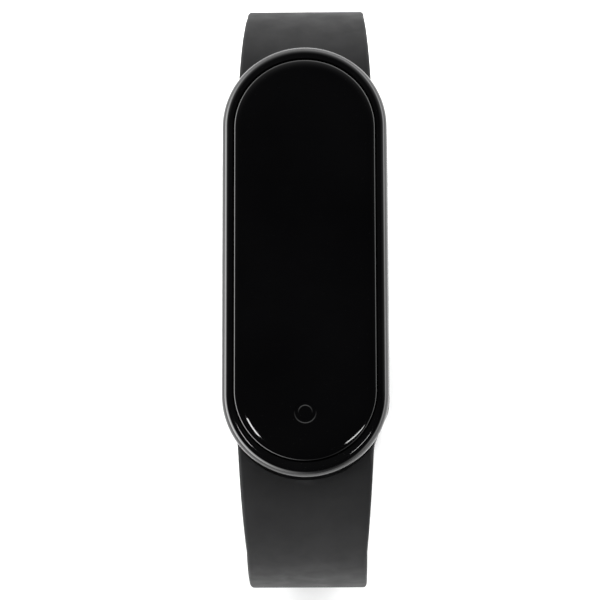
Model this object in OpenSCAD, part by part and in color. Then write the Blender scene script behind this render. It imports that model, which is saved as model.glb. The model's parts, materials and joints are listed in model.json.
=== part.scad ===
// Wrist-worn activity band: a pill-shaped tracker capsule snapped into a silicone strap.
// The strap is buckled into a loop that stands on its clasp. +Z is the display's outward
// normal, +Y is the display's upper end and Z = 0 is the surface that the clasp rests on.

/* [Capsule] */
// Overall length of the capsule
capsule_l = 48; // [47:0.05:48.2]
// Overall width of the capsule
capsule_w = 18.15; // [17.5:0.05:19]
// Thickness from the sensor window to the top of the glass
capsule_t = 12.45; // [12:0.05:13.5]
// Overall length of the front glass
glass_l = 44.8; // [44:0.05:44.9]
// Width of the front glass
glass_w = 15.6; // [15.2:0.05:15.65]
// Width of the lower body that sits in the strap
body_w = 15.3; // [15:0.05:15.6]
// Wall thickness of the housing
wall = 1; // [0.8:0.05:1.1]

/* [Strap] */
// Width of the strap at the clasp
strap_w = 13.4; // [13:0.1:14]
// Thickness of the strap
strap_t = 1.7; // [1.5:0.05:1.8]
// Greatest width of the cradle around the capsule
cradle_w = 18.4; // [18.2:0.05:19]
// Gap between neighbouring pieces of silicone
strap_gap = 0.12; // [0.08:0.01:0.2]
// Height of the cradle's upper face above the surface
cradle_top = 48.65; // [48:0.05:49.5]
// Height of the cradle's wall
cradle_h = 5.45; // [5:0.05:5.8]
// Radius of the strap's shoulder beside the capsule
shoulder_r = 16; // [15:0.5:17]
// Radius of the strap along the side of the wrist
side_r = 34; // [32:0.5:36]

/* [Clasp] */
// Width of the slotted loop end
loop_w = 18; // [17.4:0.1:19]
// Thickness of the loop end's crossbar
bar_t = 1.4; // [1.2:0.05:1.5]
// Diameter of the clasp stud's neck
stud_d = 2; // [1.8:0.05:2.2]
// Length of each adjustment hole along the strap
hole_l = 4.4; // [4.2:0.1:4.8]
// Width of each adjustment hole
hole_w = 2.8; // [2.7:0.05:3]

/* [Hidden] */
$fn = 64;
eps = 0.01;
SILICONE = "#26272a";
GLOSS_BLACK = "#0c0d0f";
GLASS = "#101114";
BOARD = "#1d5b3c";
CHIP = "#202124";
METAL = "#b9bcc0";
GOLD = "#c9a24a";
FLEX = "#b0641f";
CELL = "#8f9499";
FOAM = "#3a3b3d";

// Angles are measured at a path's own centre, upward from the horizontal.
shoulder_deg = 55;
upper_deg = 10;
lower_deg = -35;
tail_end_deg = -9;
stud_deg = -21;
// Overlap that joins two arcs of different radius into one solid.
weld_deg = 0.45;

// Side path of the strap's mid surface, from the cradle's end down to the clasp.
end_y = 25.5;
mid_z = strap_t * 1.5 + strap_gap;
blend_r = 8;
blend_z = cradle_top - blend_r;
blend_y = end_y - (blend_r - strap_t / 2) * cos(shoulder_deg);
end_z = blend_z + (blend_r - strap_t / 2) * sin(shoulder_deg);
shoulder_y = end_y - shoulder_r * cos(shoulder_deg);
shoulder_z = end_z - shoulder_r * sin(shoulder_deg);
side_y = shoulder_y + (shoulder_r - side_r) * cos(upper_deg);
side_z = shoulder_z + (shoulder_r - side_r) * sin(upper_deg);
corner_r = (side_z + side_r * sin(lower_deg) - mid_z) / (1 + sin(lower_deg));
corner_y = side_y + (side_r - corner_r) * cos(lower_deg);
corner_z = mid_z + corner_r;

// The tail lies one thickness outside the strap that it doubles back along, and its free end
// peels away at the foot of the side arc.
tail_step = strap_t + strap_gap;
tail_corner_r = corner_r + tail_step;
tail_side_r = side_r + tail_step;
hinge_y = side_y + tail_side_r * cos(lower_deg);
hinge_z = side_z + tail_side_r * sin(lower_deg);

// The base is centred, although the tail makes one side of the loop thicker.
reach_short = side_y + side_r + strap_t / 2;
reach_tail = side_y + (tail_side_r + strap_t / 2) * cos(tail_end_deg);
base_shift = (reach_short - max(reach_short, reach_tail)) / 2;

// Fold of the long strap round the crossbar.
fold_in = bar_t / 2 + strap_gap;
fold_out = fold_in + strap_t;
fold_y = -0.2;
bar_flat = 1.2;
ramp_y = corner_y - 1;
loop_end_y = fold_y + bar_flat + bar_t / 2;
slot_y = -6;
slot_w = strap_w + 0.9;

// Capsule levels, from its back upward. The rim clears the cradle by a hair.
rim_gap = 0.1;
cover_top = 2.4;
rim_bottom = 7.4;
rim_top = 11.85;
seat_z = 11;
glass_z = 11.15;
board_z = 8.3;
board_t = 0.8;
back_z = cradle_top + rim_gap - rim_bottom;
span = capsule_l - capsule_w;
rim_r = capsule_w / 2;
body_r = body_w / 2;
cavity_r = body_r - wall;
glass_r = glass_w / 2;
glass_span = glass_l - glass_w;
key_y = -17.1;
motor_y = 15.4;
motor_r = 4;
contact_x = 2.7;
contact_y = -15.5;

// ---- shared shapes ----

// A flat pill outline of end radius r, standing from z0 to z1.
module pill(r, z0, z1, straight = span) {
    translate([0, 0, z0]) linear_extrude(z1 - z0) union() {
        square([2 * r, straight], center = true);
        for (side = [-1, 1]) translate([0, side * straight / 2]) circle(r);
    }
}

// Sweeps a half profile, drawn at x >= 0, round a pill outline.
module pill_sweep(straight = span) {
    for (turn = [0, 180]) rotate([0, 0, turn])
        translate([0, straight / 2, 0]) rotate_extrude(angle = 180) children();
    translate([0, straight / 2, 0]) rotate([90, 0, 0]) linear_extrude(straight) {
        children();
        mirror([1, 0]) children();
    }
}

// A rectangle from (x0, y0) to (x1, y1) with its outer top corner rounded by r.
module rounded_top(x0, x1, y0, y1, r) {
    translate([x0, y0]) square([x1 - x0 - r, y1 - y0]);
    translate([x0, y0]) square([x1 - x0, y1 - y0 - r]);
    translate([x1 - r, y1 - r]) intersection() {
        circle(r);
        square(r);
    }
}

// A rectangle of w by t, centred, with every corner rounded by r.
module rounded_section(t, w, r) {
    square([t, w - 2 * r], center = true);
    square([t - 2 * r, w], center = true);
    for (x = [-1, 1], y = [-1, 1]) translate([x * (t / 2 - r), y * (w / 2 - r)]) circle(r);
}

// A length of strap along an arc in the YZ plane, between two angles above the horizontal.
module strap_arc(y, z, r, from_deg, to_deg, w) {
    translate([0, y, z]) rotate([0, 90, 0]) rotate([0, 0, 90 + from_deg])
        rotate_extrude(angle = to_deg - from_deg)
            translate([r, 0]) rounded_section(strap_t, w, strap_t * 0.27);
}

// Shoulder, side and lower corner of the strap, from the cradle to the flat of the clasp.
module strap_side() {
    strap_arc(shoulder_y, shoulder_z, shoulder_r, upper_deg, shoulder_deg, strap_w);
    strap_arc(side_y, side_z, side_r, lower_deg - weld_deg, upper_deg + weld_deg, strap_w);
    strap_arc(corner_y, corner_z, corner_r, -90, lower_deg, strap_w);
}

// An elongated hole across the strap, at an angle on an arc in the YZ plane.
module adjustment_hole(y, z, r, at_deg) {
    translate([0, y, z]) rotate([at_deg, 0, 0]) translate([0, r, 0]) rotate([-90, 0, 0])
        linear_extrude(4 * strap_t, center = true) {
            square([hole_w, hole_l - hole_w], center = true);
            for (side = [-1, 1]) translate([0, side * (hole_l - hole_w) / 2]) circle(d = hole_w);
        }
}

// A box given by its centre in X and Y, its footprint and its two levels.
module block(x, y, size_x, size_y, z0, z1) {
    translate([x - size_x / 2, y - size_y / 2, z0]) cube([size_x, size_y, z1 - z0]);
}

// A disc standing from z0 to z1.
module disc(x, y, r, z0, z1) {
    translate([x, y, z0]) cylinder(r = r, h = z1 - z0);
}

// Places a shape drawn from the capsule's back upward.
module in_capsule() {
    translate([0, base_shift, back_z]) children();
}

// Places a shape of the strap.
module in_strap() {
    translate([0, base_shift, 0]) children();
}

// ---- strap ----

module strap_cradle() {
    // the two sides bow gently, so that the strap narrows evenly from the capsule's waist
    bow = (cradle_w - strap_w) / 2;
    plan_r = (end_y * end_y + bow * bow) / (2 * bow);
    block_l = 47.6;
    foot_r = 1.8;
    color(SILICONE) in_strap() difference() {
        intersection() {
            translate([0, 0, cradle_top - cradle_h - 1]) linear_extrude(cradle_h + 2)
                intersection() {
                    translate([plan_r - cradle_w / 2, 0]) circle(plan_r, $fn = 360);
                    translate([cradle_w / 2 - plan_r, 0]) circle(plan_r, $fn = 360);
                }
            union() {
                translate([0, 0, cradle_top - cradle_h / 2]) rotate([90, 0, 90])
                    linear_extrude(2 * cradle_w, center = true)
                        rounded_section(block_l, cradle_h, foot_r);
                for (turn = [0, 180]) rotate([0, 0, turn])
                    strap_arc(blend_y, blend_z, blend_r - strap_t / 2, shoulder_deg, 90, cradle_w);
            }
        }
        pill(body_r + 0.08, cradle_top - cradle_h - 1, cradle_top + 2 * strap_t);
    }
}

module strap_short_side() {
    color(SILICONE) in_strap() mirror([0, 1, 0]) strap_side();
}

module strap_loop_end() {
    plate_t = mid_z + strap_t / 2;
    plate_l = loop_end_y + corner_y;
    rail = (loop_w - slot_w) / 2;
    corner = 1.6;
    color(SILICONE) in_strap() {
        difference() {
            translate([0, loop_end_y - plate_l / 2, 0]) linear_extrude(plate_t)
                rounded_section(loop_w, plate_l, corner);
            translate([-slot_w / 2, slot_y, -1]) cube([slot_w, plate_l, plate_t + 2]);
        }
        for (y = [fold_y, fold_y + bar_flat]) translate([0, y, fold_out]) rotate([0, 90, 0])
            cylinder(d = bar_t, h = loop_w - rail, center = true);
        translate([0, fold_y + bar_flat / 2, fold_out])
            cube([loop_w - rail, bar_flat, bar_t], center = true);
    }
}

module strap_long_side() {
    hole_pitch = 6.4;
    degrees = 180 / PI;
    // arc length from the stud's hole down to the foot of the side arc
    foot = (stud_deg - lower_deg) * side_r / degrees;
    color(SILICONE) in_strap() difference() {
        strap_side();
        for (i = [-2:1])
            adjustment_hole(side_y, side_z, side_r, stud_deg - i * hole_pitch / side_r * degrees);
        for (i = [2:3])
            adjustment_hole(corner_y, corner_z, corner_r,
                            lower_deg - (i * hole_pitch - foot) / corner_r * degrees);
    }
}

module strap_fold() {
    top_z = fold_out + fold_in;
    bar_end = fold_y + bar_flat;
    bend_gap = 3.4;
    color(SILICONE) in_strap() {
        // inner layer, from the strap's flat up over the crossbar
        rotate([90, 0, 90]) linear_extrude(strap_w, center = true) polygon([
            [fold_y, top_z], [bar_end, top_z], [ramp_y, mid_z - strap_t / 2],
            [corner_y, mid_z - strap_t / 2], [corner_y, mid_z + strap_t / 2],
            [ramp_y, mid_z + strap_t / 2], [bar_end, top_z + strap_t],
            [fold_y, top_z + strap_t]
        ]);
        // half turn round the crossbar
        translate([0, fold_y, fold_out]) rotate([0, 90, 0]) rotate([0, 0, 180])
            rotate_extrude(angle = 180) translate([fold_in, -strap_w / 2])
                square([strap_t, strap_w]);
        // outer layer, along the surface and up the corner to the tail's bend
        translate([-strap_w / 2, fold_y, 0]) cube([strap_w, corner_y - fold_y, strap_t]);
        strap_arc(corner_y, corner_z, tail_corner_r, -90, lower_deg - bend_gap, strap_w);
    }
}

module strap_tail() {
    tip_r = 9;
    nose_d = 0.9 * strap_t;
    color(SILICONE) in_strap() difference() {
        union() {
            strap_arc(side_y, side_z, tail_side_r, lower_deg, tail_end_deg, strap_w);
            translate([0, hinge_y, hinge_z]) rotate([0, 90, 0])
                cylinder(d = nose_d, h = strap_w - strap_t, center = true);
        }
        // rounded corners of the tip
        on_stud_axis() linear_extrude(12, center = true) difference() {
            translate([-strap_w, -20]) square([2 * strap_w, 20]);
            circle(tip_r);
        }
        on_stud_axis() cylinder(d = stud_d, h = 8, center = true);
    }
}

// Stands +Z outward along the stud, with Z = 0 on the strap's mid surface.
module on_stud_axis() {
    translate([0, side_y, side_z]) rotate([stud_deg, 0, 0])
        translate([0, side_r, 0]) rotate([-90, 0, 0]) children();
}

module clasp_stud() {
    head_t = 0.7;
    color(METAL) in_strap() on_stud_axis() {
        translate([0, 0, -strap_t / 2 - head_t]) cylinder(d = stud_d + 0.5, h = head_t);
        translate([0, 0, -strap_t / 2]) cylinder(d = stud_d, h = tail_step + strap_t);
    }
}

module stud_cap() {
    cap_t = 0.7;
    color(METAL) in_strap() on_stud_axis()
        translate([0, 0, tail_step + strap_t / 2 + eps]) rotate_extrude()
            rounded_top(0, 3.1, 0, cap_t, 0.3);
}

// ---- capsule: outside ----

module housing() {
    lip = 0.05;
    edge_r = 1.1;
    foot_r = 0.8;
    // the rim's side leans in towards its foot
    draft = 12;
    edge_x = rim_r - edge_r;
    edge_z = rim_top - edge_r;
    foot_z = rim_bottom + foot_r;
    side_low_z = foot_z - foot_r * sin(draft);
    side_high_z = edge_z - edge_r * sin(draft);
    side_high_x = edge_x + edge_r * cos(draft);
    side_low_x = side_high_x - (side_high_z - side_low_z) * tan(draft);
    foot_x = side_low_x - foot_r * cos(draft);
    color(GLOSS_BLACK) in_capsule() difference() {
        union() {
            pill(body_r, cover_top, rim_bottom + eps);
            pill_sweep() {
                polygon([
                    [0, rim_bottom], [foot_x, rim_bottom], [side_low_x, side_low_z],
                    [side_high_x, side_high_z], [edge_x, rim_top], [0, rim_top]
                ]);
                translate([foot_x, foot_z]) circle(foot_r);
                translate([edge_x, edge_z]) circle(edge_r);
            }
        }
        pill(cavity_r, cover_top - 1, seat_z + eps);
        pill(glass_r + lip, seat_z, capsule_t, glass_span);
    }
}

module front_glass() {
    key_r = 1.22;
    key_line = 0.5;
    edge_r = 0.6;
    color(GLASS) in_capsule() difference() {
        pill_sweep(glass_span) rounded_top(0, glass_r, glass_z, capsule_t, edge_r);
        // engraved ring of the touch key
        translate([0, key_y, capsule_t - 0.05]) difference() {
            cylinder(r = key_r, h = 1);
            translate([0, 0, -1]) cylinder(r = key_r - key_line, h = 3);
        }
    }
}

module glass_gasket() {
    color(FOAM) in_capsule() difference() {
        pill(glass_r - 0.1, seat_z, glass_z, glass_span);
        pill(cavity_r, seat_z - 1, glass_z + 1);
    }
}

module rear_cover() {
    window_r = 4.5;
    color(GLOSS_BLACK) in_capsule() difference() {
        union() {
            pill_sweep() translate([0, cover_top + 0.3]) mirror([0, 1])
                rounded_top(0, body_r, 0.3, cover_top, 1.4);
            pill(cavity_r - 0.05, cover_top - eps, cover_top + 0.8);
        }
        pill(cavity_r - 0.9, 1.4, cover_top + 2);
        translate([0, 0, -1]) cylinder(r = window_r, h = 4);
        for (side = [-1, 1]) translate([side * contact_x, contact_y, -1]) cylinder(r = 1, h = 4);
    }
}

module cover_seal() {
    color(FOAM) in_capsule() difference() {
        pill(cavity_r - 0.05, cover_top + 0.8, cover_top + 1.2);
        pill(cavity_r - 0.9, cover_top, cover_top + 2);
    }
}

module sensor_window() {
    color(GLASS) in_capsule() {
        translate([0, 0, 1.4]) mirror([0, 0, 1]) rotate_extrude()
            rounded_top(0, 4.45, 0, 1.4, 1);
    }
}

// ---- capsule: inside ----

module display_panel() {
    color(CHIP) in_capsule() block(0, 1.5, 11.4, 27, 10.2, glass_z);
}

module display_flex() {
    flex_t = 0.15;
    color(FLEX) in_capsule() {
        block(0, 15.6, 6, 1.2, 10.3, 10.3 + flex_t);
        block(0, 16.2, 6, flex_t, board_z + board_t, 10.3 + flex_t);
    }
}

module touch_pad() {
    color(FLEX) in_capsule() block(0, key_y, 7.6, 5.6, glass_z - 0.25, glass_z);
}

module mid_frame() {
    color(CHIP) in_capsule() difference() {
        pill(cavity_r - 0.05, 9.3, 10.1);
        block(0, 16.2, 7, 1.2, 9, 11);
        block(0, 2, 8, 20, 9, 11);
    }
}

module antenna() {
    color(GOLD) in_capsule() difference() {
        pill(cavity_r - 0.6, 10.1, 10.2);
        pill(cavity_r - 1.4, 10, 11);
        block(0, 5, 2 * body_w, capsule_l, 9, 12);
    }
}

module main_board() {
    color(BOARD) in_capsule() pill(cavity_r - 0.3, board_z, board_z + board_t);
}

module processor_shield() {
    color(METAL) in_capsule() block(0, 5, 8, 8, board_z - 1.1, board_z);
}

module memory_chip() {
    color(CHIP) in_capsule() block(1.6, -4, 5, 4, board_z - 0.8, board_z);
}

module radio_chip() {
    color(CHIP) in_capsule() block(-2.6, -10, 3.4, 3.4, board_z - 0.8, board_z);
}

module motion_chip() {
    color(CHIP) in_capsule() block(2.8, -10, 2.5, 3, board_z - 0.8, board_z);
}

module battery() {
    color(CELL) in_capsule() translate([0, -0.8, 4.8]) rotate([90, 0, 0])
        linear_extrude(22, center = true) rounded_section(11.2, 3.4, 1);
}

module battery_pad() {
    color(FOAM) in_capsule() block(0, -0.8, 8, 18, 6.5, 6.9);
}

module battery_lead() {
    color(FLEX) in_capsule() {
        block(-2, -12.4, 4, 1.2, 4.8, 5);
        block(-2, -13, 4, 0.2, 4.8, board_z);
    }
}

module motor_case() {
    color(METAL) in_capsule() difference() {
        disc(0, motor_y, motor_r, 3.8, 6.6);
        disc(0, motor_y, motor_r - 0.2, 3.7, 6.4);
    }
}

module motor_base() {
    color(BOARD) in_capsule() difference() {
        disc(0, motor_y, motor_r, 3.5, 3.8);
        disc(0, motor_y, 0.4, 3, 4);
    }
}

module motor_shaft() {
    color(METAL) in_capsule() disc(0, motor_y, 0.4, 3.5, 6.4);
}

module motor_rotor() {
    color(GOLD) in_capsule() difference() {
        union() {
            disc(0, motor_y, 1, 4.2, 6);
            intersection() {
                disc(0, motor_y, motor_r - 0.5, 4.2, 6);
                block(0, motor_y + 2, 8, 4, 4, 6.2);
            }
        }
        disc(0, motor_y, 0.45, 4, 7);
    }
}

module sensor_board() {
    color(BOARD) in_capsule() disc(0, 0, 4.9, 2.4, 2.9);
}

module green_led(y) {
    color("#7fd08a") in_capsule() block(0, y, 1.6, 1, 1.7, 2.4);
}

module photodiode() {
    color(CHIP) in_capsule() block(0, 0, 2.6, 1.8, 1.7, 2.4);
}

module light_barrier() {
    color(FOAM) in_capsule() difference() {
        disc(0, 0, 4.1, 1.4, 2.4);
        for (y = [-2.6, 0, 2.6]) block(0, y, 3.2, y == 0 ? 2.2 : 1.6, 1, 3);
    }
}

module charge_contact(side) {
    color(GOLD) in_capsule() disc(side * contact_x, contact_y, 1, 0.35, 1.9);
}

module contact_spring(side) {
    strip_t = 0.2;
    color(GOLD) in_capsule() {
        block(side * contact_x, contact_y, 1.2, 1.2, 1.9, 1.9 + strip_t);
        block(side * contact_x, contact_y - 0.5, 1.2, strip_t, 1.9, board_z);
    }
}

strap_cradle();
strap_short_side();
strap_loop_end();
strap_long_side();
strap_fold();
strap_tail();
clasp_stud();
stud_cap();
housing();
front_glass();
glass_gasket();
display_panel();
display_flex();
touch_pad();
mid_frame();
antenna();
main_board();
processor_shield();
memory_chip();
radio_chip();
motion_chip();
battery_pad();
battery();
battery_lead();
motor_case();
motor_base();
motor_shaft();
motor_rotor();
rear_cover();
cover_seal();
sensor_window();
sensor_board();
green_led(2.6);  // green_led_upper
green_led(-2.6);  // green_led_lower
photodiode();
light_barrier();
charge_contact(-1);  // charge_contact_left
charge_contact(1);  // charge_contact_right
contact_spring(-1);  // contact_spring_left
contact_spring(1);  // contact_spring_right
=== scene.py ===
import json
import math

import bmesh
import bpy
from mathutils import Matrix, Vector


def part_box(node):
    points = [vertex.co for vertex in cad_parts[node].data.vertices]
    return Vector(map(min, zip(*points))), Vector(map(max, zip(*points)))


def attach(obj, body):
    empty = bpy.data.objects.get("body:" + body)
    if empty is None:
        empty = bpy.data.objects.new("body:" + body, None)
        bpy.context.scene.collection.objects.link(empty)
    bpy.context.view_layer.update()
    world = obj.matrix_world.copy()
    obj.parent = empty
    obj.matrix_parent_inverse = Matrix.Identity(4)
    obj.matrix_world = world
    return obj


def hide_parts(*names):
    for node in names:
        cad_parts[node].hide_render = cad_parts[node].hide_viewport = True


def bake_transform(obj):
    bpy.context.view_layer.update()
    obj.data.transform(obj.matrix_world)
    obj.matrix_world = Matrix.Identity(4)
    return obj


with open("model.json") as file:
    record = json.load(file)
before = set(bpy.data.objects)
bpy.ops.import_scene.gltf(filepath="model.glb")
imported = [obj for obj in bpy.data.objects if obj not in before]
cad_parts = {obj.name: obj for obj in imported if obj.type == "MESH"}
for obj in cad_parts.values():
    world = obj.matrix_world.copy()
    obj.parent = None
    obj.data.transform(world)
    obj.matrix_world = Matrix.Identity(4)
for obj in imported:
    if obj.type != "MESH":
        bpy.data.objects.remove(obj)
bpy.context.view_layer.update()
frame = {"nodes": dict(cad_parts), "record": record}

MM = 0.001
WELD = 0.001 * MM

# The capsule's middle along Y, about which every outline below is drawn.
BODY_SHIFT = (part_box("housing")[0].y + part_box("housing")[1].y) / 2


# ---- camera: almost square on to the display, seen from a little below it ----

VIEW_DISTANCE = 0.320
VIEW_AZIMUTH = math.radians(0.8)
VIEW_ELEVATION = math.radians(78.6)
VIEW_ROLL = math.radians(-0.3)
VIEW_WIDTH = 0.0653
AIM_BELOW = 4.7 * MM
AIM_LEFT = 0.55 * MM
SENSOR_WIDTH = 36


def place_camera():
    """A long lens over the display, aimed a little below and to the left of its middle."""
    glass_low, glass_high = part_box("front_glass")
    face = Vector((0, (glass_low.y + glass_high.y) / 2, glass_high.z))
    rise = math.sin(VIEW_ELEVATION)
    run = math.cos(VIEW_ELEVATION)
    back = Vector((VIEW_AZIMUTH, -run, rise)).normalized()
    up = Vector((0, rise, run))
    aim = face - up * AIM_BELOW - Vector((AIM_LEFT, 0, 0))
    data = bpy.data.cameras.new("camera")
    data.sensor_width = SENSOR_WIDTH
    data.lens = SENSOR_WIDTH * VIEW_DISTANCE / VIEW_WIDTH
    data.clip_start = 0.01
    data.clip_end = 20
    camera = bpy.data.objects.new("camera", data)
    bpy.context.scene.collection.objects.link(camera)
    side = up.cross(back).normalized()
    upright = Matrix((side, back.cross(side), back)).transposed()
    camera.rotation_euler = (upright @ Matrix.Rotation(VIEW_ROLL, 3, "Z")).to_euler()
    camera.location = aim + back * VIEW_DISTANCE
    bpy.context.scene.camera = camera


# ---- materials ----

def link(tree, source, target):
    """Joins one node's output to another's input."""
    tree.links.new(source, target)


def noise(tree, coordinates, scale, detail=3.0, distortion=0.0):
    """A noise texture's factor, with its scale given in features per metre."""
    node = tree.nodes.new("ShaderNodeTexNoise")
    node.inputs["Scale"].default_value = scale
    node.inputs["Detail"].default_value = detail
    node.inputs["Distortion"].default_value = distortion
    link(tree, coordinates, node.inputs["Vector"])
    return node.outputs["Fac"]


def ramp(tree, factor, low, high, start=0.3, end=0.7):
    """Maps the middle of a factor's range onto values from low to high."""
    node = tree.nodes.new("ShaderNodeMapRange")
    node.inputs["From Min"].default_value = start
    node.inputs["From Max"].default_value = end
    node.inputs["To Min"].default_value = low
    node.inputs["To Max"].default_value = high
    link(tree, factor, node.inputs["Value"])
    return node.outputs["Result"]


def tint(tree, factor, dark, light):
    """Mixes two colours by a factor."""
    node = tree.nodes.new("ShaderNodeMix")
    node.data_type = "RGBA"
    node.inputs["A"].default_value = (*dark, 1)
    node.inputs["B"].default_value = (*light, 1)
    link(tree, factor, node.inputs["Factor"])
    return node.outputs["Result"]


def bump(tree, height, distance):
    """A normal that follows a relief of the given depth."""
    node = tree.nodes.new("ShaderNodeBump")
    node.inputs["Distance"].default_value = distance
    link(tree, height, node.inputs["Height"])
    return node.outputs["Normal"]


def surface(name, dark, light, rough, grain, height, mottle=400, metallic=0.0, **sockets):
    """A material whose colour, roughness and relief all vary over the surface.

    grain and mottle are features per metre, of the relief and of the clouding, and height is
    the relief's depth. Smears in the roughness are rather finer than the clouding.
    """
    material = bpy.data.materials.new(name)
    material.use_nodes = True
    tree = material.node_tree
    shader = tree.nodes["Principled BSDF"]
    place = tree.nodes.new("ShaderNodeTexCoord").outputs["Object"]
    cloud = noise(tree, place, mottle, detail=4)
    link(tree, tint(tree, ramp(tree, cloud, 0, 1), dark, light), shader.inputs["Base Color"])
    smear = noise(tree, place, mottle * 1.7, detail=5, distortion=0.4)
    link(tree, ramp(tree, smear, *rough), shader.inputs["Roughness"])
    relief = noise(tree, place, grain, detail=2)
    link(tree, bump(tree, relief, height), shader.inputs["Normal"])
    shader.inputs["Metallic"].default_value = metallic
    for socket, value in sockets.items():
        shader.inputs[socket.replace("_", " ")].default_value = value
    return material


def silicone():
    """Matt moulded silicone: a fine even grain, faint clouding and paler rubbed edges."""
    material = surface("silicone", (0.0068, 0.0069, 0.0071), (0.0092, 0.0093, 0.0096),
                       (0.58, 0.7), 7000, 0.006 * MM, mottle=260,
                       Sheen_Weight=0.012, Sheen_Roughness=0.3, Specular_IOR_Level=0.16)
    tree = material.node_tree
    shader = tree.nodes["Principled BSDF"]
    colour = shader.inputs["Base Color"].links[0].from_socket
    edge = tree.nodes.new("ShaderNodeNewGeometry").outputs["Pointiness"]
    rubbed = tree.nodes.new("ShaderNodeMix")
    rubbed.data_type = "RGBA"
    rubbed.inputs["B"].default_value = (0.022, 0.022, 0.023, 1)
    link(tree, ramp(tree, edge, 0, 0.5, start=0.52, end=0.62), rubbed.inputs["Factor"])
    link(tree, colour, rubbed.inputs["A"])
    link(tree, rubbed.outputs["Result"], shader.inputs["Base Color"])
    return material


def gloss_shell():
    """Polished black polycarbonate with faint handling smears."""
    return surface("gloss_shell", (0.0006, 0.0006, 0.0007), (0.0012, 0.0012, 0.0013),
                   (0.05, 0.09), 900, 0.0004 * MM, mottle=150, IOR=1.5)


def front_glass():
    """Black printed glass with faint finger smears."""
    return surface("front_glass", (0.0004, 0.0004, 0.0005), (0.0008, 0.0008, 0.0009),
                   (0.03, 0.06), 300, 0.0002 * MM, mottle=90, IOR=1.5)


def satin_steel():
    """Dark plated steel with a fine satin grain."""
    return surface("steel", (0.15, 0.152, 0.157), (0.21, 0.213, 0.22), (0.24, 0.36),
                   9000, 0.002 * MM, metallic=1.0)


MATERIALS = {
    "silicone": silicone(),
    "steel": satin_steel(),
    "gloss_shell": gloss_shell(),
    "front_glass": front_glass(),
    "sensor_lens": surface("sensor_lens", (0.004, 0.004, 0.005), (0.012, 0.01, 0.012),
                           (0.05, 0.1), 500, 0.0004 * MM),
    "foam": surface("foam", (0.02, 0.02, 0.022), (0.06, 0.06, 0.064), (0.85, 0.98),
                    3500, 0.05 * MM),
    "display": surface("display", (0.004, 0.004, 0.006), (0.012, 0.012, 0.018),
                       (0.08, 0.14), 1200, 0.0006 * MM),
    "flex_circuit": surface("flex_circuit", (0.3, 0.11, 0.02), (0.5, 0.22, 0.05),
                            (0.25, 0.4), 2500, 0.01 * MM),
    "dark_plastic": surface("dark_plastic", (0.015, 0.015, 0.016), (0.035, 0.035, 0.037),
                            (0.45, 0.65), 4000, 0.01 * MM),
    "circuit_board": surface("circuit_board", (0.008, 0.07, 0.035), (0.02, 0.15, 0.07),
                             (0.3, 0.5), 2200, 0.02 * MM, mottle=900),
    "brass_gold": surface("brass_gold", (0.6, 0.38, 0.12), (0.8, 0.56, 0.22),
                          (0.18, 0.32), 5000, 0.003 * MM, metallic=1.0),
    "cell_pouch": surface("cell_pouch", (0.42, 0.43, 0.45), (0.6, 0.61, 0.63),
                          (0.3, 0.48), 900, 0.03 * MM, metallic=0.8),
    "green_led": surface("green_led", (0.1, 0.45, 0.2), (0.3, 0.7, 0.35), (0.15, 0.3),
                         3000, 0.004 * MM),
}


def dress(piece, slot):
    """Gives a piece one of the materials above."""
    piece.data.materials.clear()
    piece.data.materials.append(MATERIALS[slot])


def dress_cad_nodes():
    """Every CAD node takes the material that the record names for it."""
    for part in frame["record"]["subparts"]:
        dress(frame["nodes"][part["node"]], part["material_slot"])


# ---- mesh helpers ----

def new_piece(name, mesh, slot, body, stands_for):
    """A piece in place of some CAD nodes, attached to the given body's empty when there is one.
    """
    piece = bpy.data.objects.new(name, mesh)
    bpy.context.scene.collection.objects.link(piece)
    dress(piece, slot)
    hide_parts(*stands_for)
    if body:
        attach(piece, body)
    return piece


def mesh_from_rings(name, rings, join_ends=False):
    """A solid skinned over equal rings, with flat ends or the last ring joined to the first."""
    count = len(rings[0])
    points = [p for ring in rings for p in ring]
    faces = []
    for i in range(len(rings) if join_ends else len(rings) - 1):
        low, high = i * count, (i + 1) % len(rings) * count
        for j in range(count):
            k = (j + 1) % count
            faces.append((low + j, low + k, high + k, high + j))
    if not join_ends:
        faces.append(tuple(reversed(range(count))))
        faces.append(tuple(range((len(rings) - 1) * count, len(rings) * count)))
    mesh = bpy.data.meshes.new(name)
    mesh.from_pydata(points, [], faces)
    tidy = bmesh.new()
    tidy.from_mesh(mesh)
    bmesh.ops.remove_doubles(tidy, verts=tidy.verts, dist=WELD)
    bmesh.ops.recalc_face_normals(tidy, faces=tidy.faces)
    tidy.to_mesh(mesh)
    tidy.free()
    return mesh


def smooth(mesh, angle=35):
    """Smooth shading, kept crisp across edges sharper than the angle in degrees."""
    mesh.shade_smooth()
    mesh.set_sharp_from_angle(angle=math.radians(angle))
    return mesh


def cut(mesh, cutters):
    """The mesh with each cutter's solid taken out of it."""
    body = bpy.data.objects.new("cut_body", mesh)
    bpy.context.scene.collection.objects.link(body)
    tools = []
    for cutter in cutters:
        tool = bpy.data.objects.new("cut_tool", cutter)
        bpy.context.scene.collection.objects.link(tool)
        modifier = body.modifiers.new("cut", "BOOLEAN")
        modifier.operation = "DIFFERENCE"
        modifier.solver = "EXACT"
        modifier.object = tool
        tools.append(tool)
    bpy.context.view_layer.update()
    evaluated = body.evaluated_get(bpy.context.evaluated_depsgraph_get())
    result = bpy.data.meshes.new_from_object(evaluated)
    for spare in [body] + tools:
        bpy.data.objects.remove(spare)
    return result


def ease(value):
    """A smooth step from 0 to 1."""
    value = min(max(value, 0.0), 1.0)
    return value * value * (3 - 2 * value)


def pill_outline(radius, half_span, steps):
    """Points (across, along) round a pill, whose end centres lie half_span each way along."""
    points = []
    for side in (1, -1):
        for i in range(steps + 1):
            angle = math.pi * i / steps + (0 if side == 1 else math.pi)
            points.append((radius * math.cos(angle),
                           radius * math.sin(angle) + side * half_span))
    return points


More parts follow.
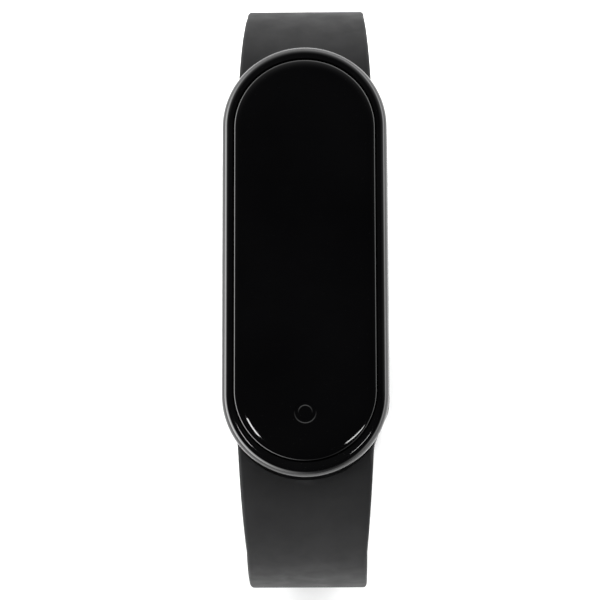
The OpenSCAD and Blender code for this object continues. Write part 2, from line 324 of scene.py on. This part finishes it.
def pill_ring(radius, half_span, z, steps=48):
    """A level pill outline, anticlockwise from +X, centred on the capsule."""
    return [Vector((across, along + BODY_SHIFT, z))
            for across, along in pill_outline(radius, half_span, steps)]


def turned_rings(profile, centre, axis, side, steps=96):
    """Rings for a profile of (radius, height above the centre) in mm, turned round an axis."""
    up = axis.cross(side)
    least = 0.002  # so that a point on the axis still gives a ring
    rings = []
    for radius, height in profile:
        ring = []
        for i in range(steps):
            angle = 2 * math.pi * i / steps
            spoke = side * math.cos(angle) + up * math.sin(angle)
            ring.append(centre + axis * (height * MM) + spoke * (max(radius, least) * MM))
        rings.append(ring)
    return rings


# ---- strap: one moulding from the slotted end, over the capsule, to the tail's tip ----

STRAP_T = 1.7 * MM
STRAP_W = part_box("strap_tail")[1].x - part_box("strap_tail")[0].x
EDGE_R = 0.42 * MM

# Clearance between layers of the strap that lie on each other.
GAP = 0.12 * MM

# Spacing of the cross-sections along the strap.
STEP = 0.45 * MM

# The capsule is a pill: HALF_SPAN is from its middle to the centre of either round end.
HALF_SPAN = (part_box("housing")[1].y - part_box("housing")[0].y
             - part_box("housing")[1].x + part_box("housing")[0].x) / 2
RIM_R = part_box("housing")[1].x
WAIST_R = 7.65 * MM

# The cradle round the capsule, and how far along the arm its full depth reaches and fades.
CRADLE_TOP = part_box("strap_cradle")[1].z
CRADLE_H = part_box("strap_cradle")[1].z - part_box("strap_cradle")[0].z
CRADLE_REACH = 22.8 * MM
CRADLE_FADE = 4 * MM

# The arm's extra width for each unit of length above the place where its taper ends.
TAPER = 0.109
TAPER_END = 34 * MM

# Angles above level where one arc of the arm hands over to the next, and END_Y, how far out
# from the capsule's middle the first of those places is.
SHOULDER = math.radians(55)
UPPER = math.radians(10)
LOWER = math.radians(-35)
END_Y = 25.5 * MM

# Where on the side arc the stud and the tail's tip are.
STUD = math.radians(-21)
TAIL_END = math.radians(-9)

# Radii of the arcs: of the strap's outer face for the first, and of its middle for the others.
BLEND_R = 8 * MM
SHOULDER_R = 16 * MM
SIDE_R = 34 * MM

# Arc centres as (y, z), chained so that neighbouring arcs are tangent. MID_Z is the height of
# the arm's middle at its foot, where the tail lies beneath it.
MID_Z = 1.5 * STRAP_T + GAP
BLEND_MID = BLEND_R - STRAP_T / 2
BLEND_C = (END_Y - BLEND_MID * math.cos(SHOULDER), CRADLE_TOP - BLEND_R)
SHOULDER_C = (END_Y - SHOULDER_R * math.cos(SHOULDER),
              BLEND_C[1] + (BLEND_MID - SHOULDER_R) * math.sin(SHOULDER))
SIDE_C = (SHOULDER_C[0] + (SHOULDER_R - SIDE_R) * math.cos(UPPER),
          SHOULDER_C[1] + (SHOULDER_R - SIDE_R) * math.sin(UPPER))
CORNER_R = (SIDE_C[1] + SIDE_R * math.sin(LOWER) - MID_Z) / (1 + math.sin(LOWER))
CORNER_C = (SIDE_C[0] + (SIDE_R - CORNER_R) * math.cos(LOWER), MID_Z + CORNER_R)

# The clasp: a crossbar, the long arm's fold round it, and the slotted plate that holds it.
BAR_R = 0.7 * MM
BAR_FLAT = 1.2 * MM
FOLD_IN = BAR_R + GAP
FOLD_OUT = FOLD_IN + STRAP_T
FOLD_Y = -0.2 * MM
LOOP_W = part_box("strap_loop_end")[1].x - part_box("strap_loop_end")[0].x
LOOP_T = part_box("strap_loop_end")[1].z
LOOP_END_Y = FOLD_Y + BAR_FLAT + BAR_R
SLOT_W = 14.5 * MM
SLOT_Y = -6 * MM

# Where the folded-back layer ends and the tail, which can peel away, begins.
SEAM_Y = 4 * MM

# The row of adjustment holes, counted each way from the one that the stud is in.
HOLE_PITCH = 6.4 * MM
HOLES_ABOVE = 2
HOLES_BELOW = 3
HOLE_HALF_W = 1.4 * MM
HOLE_HALF_L = 2.2 * MM


class Station:
    """One cross-section of the strap: a point of its outer face and the face's normal."""

    def __init__(self, y, z, normal_y, normal_z, width=STRAP_W, thickness=STRAP_T, inset=0.0):
        self.y = y
        self.z = z
        self.normal_y = normal_y
        self.normal_z = normal_z
        self.width = width
        self.thickness = thickness
        self.inset = inset

    def mirrored(self):
        """The same section on the short arm, on the other side of the capsule's middle."""
        return Station(-self.y, self.z, -self.normal_y, self.normal_z,
                       self.width, self.thickness, self.inset)


def arc(centre, radius, start, end, facing=1, step=STEP):
    """Stations along an arc; facing is 1 where the strap's outer face looks outward."""
    count = max(2, round(abs(end - start) * radius / step))
    stations = []
    for i in range(count + 1):
        angle = start + (end - start) * i / count
        y, z = math.cos(angle), math.sin(angle)
        stations.append(Station(centre[0] + radius * y, centre[1] + radius * z,
                                facing * y, facing * z))
    return stations


def level(y0, y1, z, facing, step=STEP):
    """Stations along a flat stretch; facing is 1 up and -1 down."""
    count = max(2, round(abs(y1 - y0) / step))
    return [Station(y0 + (y1 - y0) * i / count, z, 0, facing) for i in range(count + 1)]


def chain(*stretches):
    """Joins stretches that meet end to end, without repeating their shared stations."""
    stations = list(stretches[0])
    for stretch in stretches[1:]:
        stations += stretch[1:]
    return stations


def arm():
    """Outer face from the middle of the cradle to the foot of the lower corner."""
    half = STRAP_T / 2
    stations = chain(
        level(0, BLEND_C[0], CRADLE_TOP, 1),
        arc(BLEND_C, BLEND_R, math.pi / 2, SHOULDER),
        arc(SHOULDER_C, SHOULDER_R + half, SHOULDER, UPPER),
        arc(SIDE_C, SIDE_R + half, UPPER, LOWER),
        arc(CORNER_C, CORNER_R + half, LOWER, -math.pi / 2),
    )
    travelled = 0.0
    before = stations[0]
    for station in stations:
        travelled += math.hypot(station.y - before.y, station.z - before.z)
        before = station
        station.width = arm_width(travelled)
        depth = 1 - ease((travelled - CRADLE_REACH) / CRADLE_FADE)
        station.thickness = STRAP_T + (CRADLE_H - STRAP_T) * depth
    return stations


def arm_width(travelled):
    """The cradle follows the capsule's rim, then the strap narrows evenly down its arm.

    The two widths are joined by a soft maximum. The cradle stands proud of the rim along the
    capsule's straight sides, and draws in under it round the ends.
    """
    proud = 0.1 * MM
    draw_in = 0.6 * MM
    draw_in_over = 3 * MM
    past = max(0.0, travelled - HALF_SPAN)
    rim = RIM_R + proud - draw_in * ease(past / draw_in_over)
    round_end = 2 * math.sqrt(max(rim * rim - past * past, 0))
    taper = STRAP_W + TAPER * max(0.0, TAPER_END - travelled)
    softness = 0.3 * MM
    return softness * math.log(math.exp(round_end / softness) + math.exp(taper / softness))


def slotted_end():
    """The short arm's end, which thickens and widens into the plate round the slot."""
    plate = level(CORNER_C[0], -LOOP_END_Y, MID_Z - STRAP_T / 2, -1, step=0.3 * MM)
    corner = 1.6 * MM
    for station in plate:
        into_corner = max(0.0, corner - (station.y + LOOP_END_Y))
        rounding = corner - math.sqrt(max(corner ** 2 - into_corner ** 2, 0))
        station.width = LOOP_W - 2 * rounding
    return plate


def flare(stations):
    """Grows the strap into the plate over the last of the corner, ahead of the slot."""
    start, end = 16 * MM, 9.5 * MM
    for station in stations:
        if station.normal_z > 0 or station.y > start:
            continue
        share = ease((start - station.y) / (start - end))
        drop = (LOOP_T - STRAP_T) * share
        station.y += station.normal_y * drop
        station.z += station.normal_z * drop
        station.thickness += drop
        if station.width < LOOP_W and station.y > end:
            station.width = STRAP_W + (LOOP_W - STRAP_W) * share
    return stations


def climb():
    """The long arm's inner layer, which rises from the flat to pass over the crossbar."""
    low = MID_Z - STRAP_T / 2
    rise = FOLD_OUT + FOLD_IN - low
    run = FOLD_Y - CORNER_C[0]
    count = 30
    stations = []
    for i in range(count + 1):
        share = i / count
        slope = rise * 6 * share * (1 - share) / run  # the derivative of ease(share)
        length = math.hypot(1, slope)
        stations.append(Station(CORNER_C[0] + run * share, low + rise * ease(share),
                                slope / length, -1 / length))
    return stations


def section(station, corner_steps=5, side_steps=10):
    """The rounded cross-section of the strap at a station, with its edges kept in proportion."""
    half_w = station.width / 2 - station.inset
    top, bottom = -station.inset, station.inset - station.thickness
    edge = min(EDGE_R, (top - bottom) * 0.3, half_w * 0.9)
    outline = []
    for across, along, start in ((1, 0, 0), (-1, 0, 90), (-1, -1, 180), (1, -1, 270)):
        centre_x = across * (half_w - edge)
        centre_n = top - edge if along == 0 else bottom + edge
        for i in range(corner_steps + 1):
            angle = math.radians(start + 90 * i / corner_steps)
            outline.append((centre_x + edge * math.cos(angle), centre_n + edge * math.sin(angle)))
        if start in (0, 180):
            step = (2 * half_w - 2 * edge) / side_steps
            direction = -1 if start == 0 else 1
            level_n = top if start == 0 else bottom
            outline += [(centre_x + direction * step * i, level_n) for i in range(1, side_steps)]
    return [Vector((x, station.y + BODY_SHIFT + n * station.normal_y,
                    station.z + n * station.normal_z)) for x, n in outline]


def round_off(stations, reach):
    """Rounds the edges of the strap's last face by drawing in its final stations."""
    last = stations[-1]
    near = [s for s in stations if math.hypot(s.y - last.y, s.z - last.z) < reach]
    for station in near:
        into = reach - math.hypot(station.y - last.y, station.z - last.z)
        station.inset = reach - math.sqrt(max(reach ** 2 - into ** 2, 0))
    return stations


def rounded_box_ring(low, high, corner, z, steps=6):
    """A rectangle with rounded corners, from (low x, low y) to (high x, high y)."""
    ring = []
    for x, y, start in ((high[0], high[1], 0), (low[0], high[1], 90),
                        (low[0], low[1], 180), (high[0], low[1], 270)):
        centre_x = x - corner if start in (0, 270) else x + corner
        centre_y = y - corner if start in (0, 90) else y + corner
        for i in range(steps + 1):
            angle = math.radians(start + 90 * i / steps)
            ring.append(Vector((centre_x + corner * math.cos(angle),
                                centre_y + corner * math.sin(angle), z)))
    return ring


def clasp_slot_cutter():
    """The slot between the loop end's rails, open at the end that the crossbar closes.

    Its edges are softened above and below by sloping rings that run past both faces.
    """
    lip = 0.3 * MM
    corner = 1.2 * MM
    past_end = 3 * MM
    rings = []
    for z, grow in ((-lip, 2 * lip), (lip, 0), (LOOP_T - lip, 0), (LOOP_T + lip, 2 * lip)):
        low = (-SLOT_W / 2 - grow, SLOT_Y + BODY_SHIFT - grow)
        high = (SLOT_W / 2 + grow, LOOP_END_Y + BODY_SHIFT + past_end)
        rings.append(rounded_box_ring(low, high, corner, z))
    return mesh_from_rings("clasp_slot_cutter", rings)


def build_crossbar():
    """The rounded bar between the rails, which the long arm folds round.

    It runs to the middle of either rail, and swells into a fillet just before it meets one.
    """
    reach = (LOOP_W + SLOT_W) / 4
    in_rail = 0.9 * MM
    fillet = 0.12 * MM
    fillet_over = 0.8 * MM
    middle_y = FOLD_Y + BAR_FLAT / 2 + BODY_SHIFT
    count = 40
    rings = []
    for i in range(count + 1):
        x = -reach + 2 * reach * i / count
        to_rail = reach - in_rail - abs(x)
        radius = BAR_R + fillet * (1 - ease(to_rail / fillet_over))
        rings.append([Vector((x, middle_y + along, FOLD_OUT - across))
                      for across, along in pill_outline(radius, BAR_FLAT / 2, 12)])
    return mesh_from_rings("crossbar", rings)


def hole_cutter(centre, radius, angle, half_w, half_l):
    """A pill-shaped hole through the strap on an arc, with a soft lip at both faces."""
    lip = 0.22 * MM
    past_face = 0.6 * MM
    half = STRAP_T / 2
    profile = [(-half - past_face, lip), (-half, lip), (-half + lip, 0),
               (half - lip, 0), (half, lip), (half + past_face, lip)]
    axis_y, axis_z = math.cos(angle), math.sin(angle)
    rings = []
    for depth, grow in profile:
        y = centre[0] + BODY_SHIFT + (radius + depth) * axis_y
        z = centre[1] + (radius + depth) * axis_z
        rings.append([Vector((across, y - along * axis_z, z + along * axis_y))
                      for across, along in pill_outline(half_w + grow, half_l - half_w, 12)])
    return mesh_from_rings("hole_cutter", rings)


def adjustment_holes():
    """Cutters for the row of holes, evenly spaced along the long arm from the stud's."""
    side_left = (STUD - LOWER) * SIDE_R
    holes = []
    for i in range(-HOLES_ABOVE, HOLES_BELOW + 1):
        past = i * HOLE_PITCH
        if past < side_left:
            place = (SIDE_C, SIDE_R, STUD - past / SIDE_R)
        else:
            place = (CORNER_C, CORNER_R, LOWER - (past - side_left) / CORNER_R)
        holes.append(hole_cutter(*place, HOLE_HALF_W, HOLE_HALF_L))
    return holes


def pocket_cutter():
    """The opening for the capsule's waist, eased open below and flared for the rim above."""
    radius = WAIST_R + 0.06 * MM
    foot = CRADLE_TOP - CRADLE_H
    top = CRADLE_TOP
    levels = [(foot - MM, 0.7), (foot, 0.7), (foot + 0.3 * MM, 0.3), (foot + 0.7 * MM, 0),
              (top - 0.9 * MM, 0), (top - 0.8 * MM, 0.3), (top - 0.62 * MM, 0.75),
              (top - 0.4 * MM, 1.08), (top - 0.1 * MM, 1.2), (top + MM, 1.2)]
    rings = [pill_ring(radius + grow * MM, HALF_SPAN, z) for z, grow in levels]
    return mesh_from_rings("pocket_cutter", rings)


def sweep(name, stations):
    """A closed length of strap through the stations."""
    return mesh_from_rings(name, [section(s) for s in stations])


def join_at_middle(short_side, long_side):
    """Welds the strap's two sides into one solid, without the end faces between them."""
    joined = bmesh.new()
    joined.from_mesh(short_side)
    joined.from_mesh(long_side)
    between = [face for face in joined.faces
               if all(abs(v.co.y - BODY_SHIFT) < WELD for v in face.verts)]
    bmesh.ops.delete(joined, geom=between, context="FACES_ONLY")
    bmesh.ops.remove_doubles(joined, verts=joined.verts, dist=WELD)
    mesh = bpy.data.meshes.new("strap")
    joined.to_mesh(mesh)
    joined.free()
    return mesh


def build_strap():
    """The whole moulding except the tail, with its pocket, holes and slot cut out."""
    short_arm = round_off(flare(chain(arm(), slotted_end())), 0.5 * MM)
    short_side = sweep("short_side", [s.mirrored() for s in reversed(short_arm)])
    fold = arc((FOLD_Y, FOLD_OUT), FOLD_IN, math.pi / 2, 3 * math.pi / 2,
               facing=-1, step=0.12 * MM)
    long_side = sweep("long_side", chain(arm(), climb(), fold, level(FOLD_Y, SEAM_Y, STRAP_T, 1)))
    mesh = join_at_middle(cut(short_side, [clasp_slot_cutter()]),
                          cut(long_side, adjustment_holes()))
    mesh = cut(mesh, [pocket_cutter()])
    new_piece("strap_moulding", smooth(mesh), "silicone", "strap",
              ("strap_cradle", "strap_short_side", "strap_long_side", "strap_fold"))
    new_piece("strap_crossbar", smooth(build_crossbar()), "silicone", "strap",
              ("strap_loop_end",))


# ---- tail: the strap's free end, held outside its own arm by the stud ----

TAIL_SIDE_R = SIDE_R + STRAP_T + GAP
TAIL_CORNER_R = CORNER_R + STRAP_T + GAP

# The tip is rounded about the stud, and its corners once more.
TIP_R = 9 * MM
TIP_CORNER = 1.4 * MM


def tail_stations():
    """Outer face of the tail, from its seam under the clasp to its rounded tip."""
    half = STRAP_T / 2
    fine_from = TAIL_END - 1.5 * MM / TAIL_SIDE_R
    stations = chain(
        level(SEAM_Y, CORNER_C[0], 0, -1),
        arc(CORNER_C, TAIL_CORNER_R + half, -math.pi / 2, LOWER),
        arc(SIDE_C, TAIL_SIDE_R + half, LOWER, fine_from),
        arc(SIDE_C, TAIL_SIDE_R + half, fine_from, TAIL_END, step=0.06 * MM),
    )
    tip = stations[-1]
    for station in stations:
        angle = math.atan2(station.z - SIDE_C[1], station.y - SIDE_C[0])
        past_stud = (angle - STUD) * TAIL_SIDE_R
        to_end = math.hypot(station.y - tip.y, station.z - tip.z)
        if past_stud > 0:
            round_tip = 2 * math.sqrt(max(TIP_R ** 2 - past_stud ** 2, 0))
            station.width = min(station.width, round_tip)
        into = max(0.0, TIP_CORNER - to_end)
        station.width -= 2 * (TIP_CORNER - math.sqrt(TIP_CORNER ** 2 - into ** 2))
    return round_off(stations, 0.4 * MM)


def build_tail():
    """The free end with the hole for the stud's neck, attached to no body."""
    neck_r = MM
    mesh = sweep("tail", tail_stations())
    mesh = cut(mesh, [hole_cutter(SIDE_C, TAIL_SIDE_R, STUD, neck_r, neck_r)])
    piece = new_piece("strap_tail_end", smooth(mesh), "silicone", None, ("strap_tail",))
    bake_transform(piece)


def build_stud_cap():
    """The stud's cap: a shallow domed button with a turned step, just off the tail's face."""
    clear = 0.01 * MM
    foot = SIDE_R + STRAP_T * 1.5 + GAP + clear
    profile = [(0.0, 0.78), (0.5, 0.775), (1.1, 0.755), (1.7, 0.715), (2.2, 0.66), (2.42, 0.62),
               (2.5, 0.57), (2.56, 0.54), (2.68, 0.54), (2.86, 0.5), (3.0, 0.4), (3.08, 0.26),
               (3.1, 0.14), (3.04, 0.04), (2.94, 0.0), (0.0, 0.0)]
    axis = Vector((0, math.cos(STUD), math.sin(STUD)))
    centre = Vector((0, SIDE_C[0] + BODY_SHIFT, SIDE_C[1])) + axis * foot
    rings = turned_rings(profile, centre, axis, side=Vector((1, 0, 0)))
    mesh = mesh_from_rings("stud_button", rings)
    new_piece("stud_button", smooth(mesh, 30), "steel", "tail", ("stud_cap",))


# ---- capsule: profiles in mm, as (distance from the pill's spine, height above the back) ----

BACK_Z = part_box("rear_cover")[0].z
GLASS_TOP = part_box("front_glass")[1].z

# The glass's own half span, which is a little less than the rim's, and the touch key's place.
GLASS_SPAN = HALF_SPAN - 0.32 * MM
KEY_Y = -17.1 * MM


def profile_arc(centre_x, centre_z, radius, start, end, steps):
    """Profile points along an arc, angles in degrees above the horizontal."""
    angles = [math.radians(start + (end - start) * i / steps) for i in range(steps + 1)]
    return [(centre_x + radius * math.cos(a), centre_z + radius * math.sin(a)) for a in angles]


def pill_rings(profile, half_span):
    """A level ring for each point of a profile."""
    least = 0.01  # so that a point on the spine still gives a ring
    return [pill_ring(max(r, least) * MM, half_span, BACK_Z + h * MM, steps=72)
            for r, h in profile]


def build_housing():
    """The one-piece shell: waist, undercut, rounded rim and the step that holds the glass."""
    inside, waist, recess_r = 6.65, WAIST_R / MM, 7.925
    foot, ledge, crown = 2.4, 11.0, 11.85
    undercut, rim = 0.8, 1.1
    draft = 12
    outside = ([(inside, foot), (waist, foot), (waist, 7.3), (7.67, 7.38)]
               + profile_arc(7.74, 8.2, undercut, -90, -draft, 14)
               + profile_arc(7.975, crown - rim, rim, -draft, 90, 26))
    recess = [(recess_r, crown), (recess_r, ledge), (inside, ledge)]
    rings = pill_rings(outside, HALF_SPAN) + pill_rings(recess, GLASS_SPAN)
    mesh = mesh_from_rings("housing_shell", rings, join_ends=True)
    new_piece("housing_shell", smooth(mesh, 40), "gloss_shell", "capsule", ("housing",))


def key_groove_cutter():
    """The touch key's engraved ring: a shallow groove with sloping walls."""
    inner, outer, slope = 0.8, 1.12, 0.1
    depth, above = 0.053, 0.02
    profile = [(inner - slope, above), (inner - slope, 0), (inner, -depth),
               (outer, -depth), (outer + slope, 0), (outer + slope, above)]
    centre = Vector((0, KEY_Y + BODY_SHIFT, GLASS_TOP))
    rings = turned_rings(profile, centre, axis=Vector((0, 0, 1)), side=Vector((1, 0, 0)))
    return mesh_from_rings("key_groove_cutter", rings, join_ends=True)


def build_glass():
    """The front glass, flat in the middle and rolled over towards its edge."""
    top = (GLASS_TOP - BACK_Z) / MM
    underside, outer = 11.15, 7.8
    flat, roll, drop = 5.4, 2.155, 0.2265
    edge, edge_drop, edge_start = 0.35, 0.5605, 72.5
    count = 24
    profile = [(0, top)]
    for i in range(count + 1):
        share = i / count
        profile.append((flat + roll * share, top - drop * share ** 3))
    profile += profile_arc(outer - edge, top - edge_drop, edge, edge_start, 0, 10)
    profile += [(outer, underside), (0, underside)]
    solid = mesh_from_rings("glass_pane", pill_rings(profile, GLASS_SPAN))
    mesh = cut(solid, [key_groove_cutter()])
    new_piece("glass_pane", smooth(mesh, 20), "front_glass", "capsule", ("front_glass",))


# ---- surroundings: a pale floor under soft light that leaves the zenith dark ----

def build_floor():
    """A wide sheet of white paper, just below what the band stands on."""
    reach = 4
    z = -0.05 * MM
    corners = [(x * reach, y * reach, z) for x, y in ((-1, -1), (1, -1), (1, 1), (-1, 1))]
    mesh = bpy.data.meshes.new("floor")
    mesh.from_pydata(corners, [], [(0, 1, 2, 3)])
    floor = bpy.data.objects.new("floor", mesh)
    bpy.context.scene.collection.objects.link(floor)
    mesh.materials.append(surface("paper", (0.86, 0.86, 0.86), (0.9, 0.9, 0.9), (0.75, 0.9),
                                  60, 0.02 * MM, mottle=3))


# Each bank of light: the side it is on, how narrow it is, its strength, and the heights (from
# 0 at the horizon to 1 overhead) between which it fades out. The last never fades.
LIGHT_BANKS = (
    ((-0.97, -0.24, 0), 2, 11, 0.3, 0.5),
    ((0.97, 0.24, 0), 2, 4.8, 0.15, 0.4),
    ((0, 1, 0), 1, 2.5, 0.1, 0.9),
    ((0, -1, 0), 1, 0.5, 0.2, 0.55),
    ((0, 0, 1), 1, 0.025, 2, 3),
)


def maths(tree, operation, first, second):
    """A maths node on a socket and either another socket or a number."""
    node = tree.nodes.new("ShaderNodeMath")
    node.operation = operation
    link(tree, first, node.inputs[0])
    if isinstance(second, (int, float)):
        node.inputs[1].default_value = second
    else:
        link(tree, second, node.inputs[1])
    return node.outputs["Value"]


def light_bank(tree, direction, height, axis, focus, strength, fade_from, fade_to):
    """How bright one soft bank of light is in a direction."""
    facing = tree.nodes.new("ShaderNodeVectorMath")
    facing.operation = "DOT_PRODUCT"
    facing.inputs[1].default_value = axis
    link(tree, direction, facing.inputs[0])
    fade = tree.nodes.new("ShaderNodeMapRange")
    fade.interpolation_type = "SMOOTHSTEP"
    fade.inputs["From Min"].default_value = fade_from
    fade.inputs["From Max"].default_value = fade_to
    fade.inputs["To Min"].default_value = strength
    fade.inputs["To Max"].default_value = 0
    link(tree, height, fade.inputs["Value"])
    ahead = maths(tree, "MAXIMUM", facing.outputs["Value"], 0)
    return maths(tree, "MULTIPLY", maths(tree, "POWER", ahead, focus), fade.outputs["Result"])


def build_sky():
    """Banks of light round the horizon, strongest on the left, and a dark zenith."""
    world = bpy.data.worlds.new("studio")
    world.use_nodes = True
    tree = world.node_tree
    background = tree.nodes["Background"]
    background.inputs["Color"].default_value = (1, 1, 1, 1)
    direction = tree.nodes.new("ShaderNodeTexCoord").outputs["Generated"]
    axes = tree.nodes.new("ShaderNodeSeparateXYZ")
    link(tree, direction, axes.inputs["Vector"])
    banks = [light_bank(tree, direction, axes.outputs["Z"], *bank) for bank in LIGHT_BANKS]
    total = banks[0]
    for bank in banks[1:]:
        total = maths(tree, "ADD", total, bank)
    link(tree, total, background.inputs["Strength"])
    bpy.context.scene.world = world


def area_light(name, location, size, power, along=(1, 0, 0), glints=False):
    """A panel aimed at the origin, with its first side lying along a given direction."""
    data = bpy.data.lights.new(name, "AREA")
    data.shape = "RECTANGLE"
    data.size, data.size_y = size
    data.energy = power
    lamp = bpy.data.objects.new(name, data)
    bpy.context.scene.collection.objects.link(lamp)
    outward = Vector(location).normalized()
    side = (Vector(along) - outward * outward.dot(Vector(along))).normalized()
    lamp.matrix_world = Matrix((side, outward.cross(side), outward)).transposed().to_4x4()
    lamp.location = location
    lamp.visible_glossy = glints


def build_lights():
    """A broad panel overhead, and two small strips for the glints on the glass."""
    area_light("overhead", (0, 0.45, 1.4), (1.6, 1.6), 48.5)
    area_light("strip_left", (-0.304, -0.074, 0.946), (0.13, 0.055), 0.43,
               along=(-0.28, 0.96, 0), glints=True)
    area_light("strip_right", (0.373, -0.203, 0.902), (0.22, 0.045), 0.5,
               along=(0.96, 0.27, 0), glints=True)


place_camera()
build_floor()
build_sky()
build_lights()
dress_cad_nodes()
build_strap()
build_tail()
build_stud_cap()
build_housing()
build_glass()

scene = bpy.context.scene
scene.view_settings.view_transform = "Standard"
scene.view_settings.look = "None"
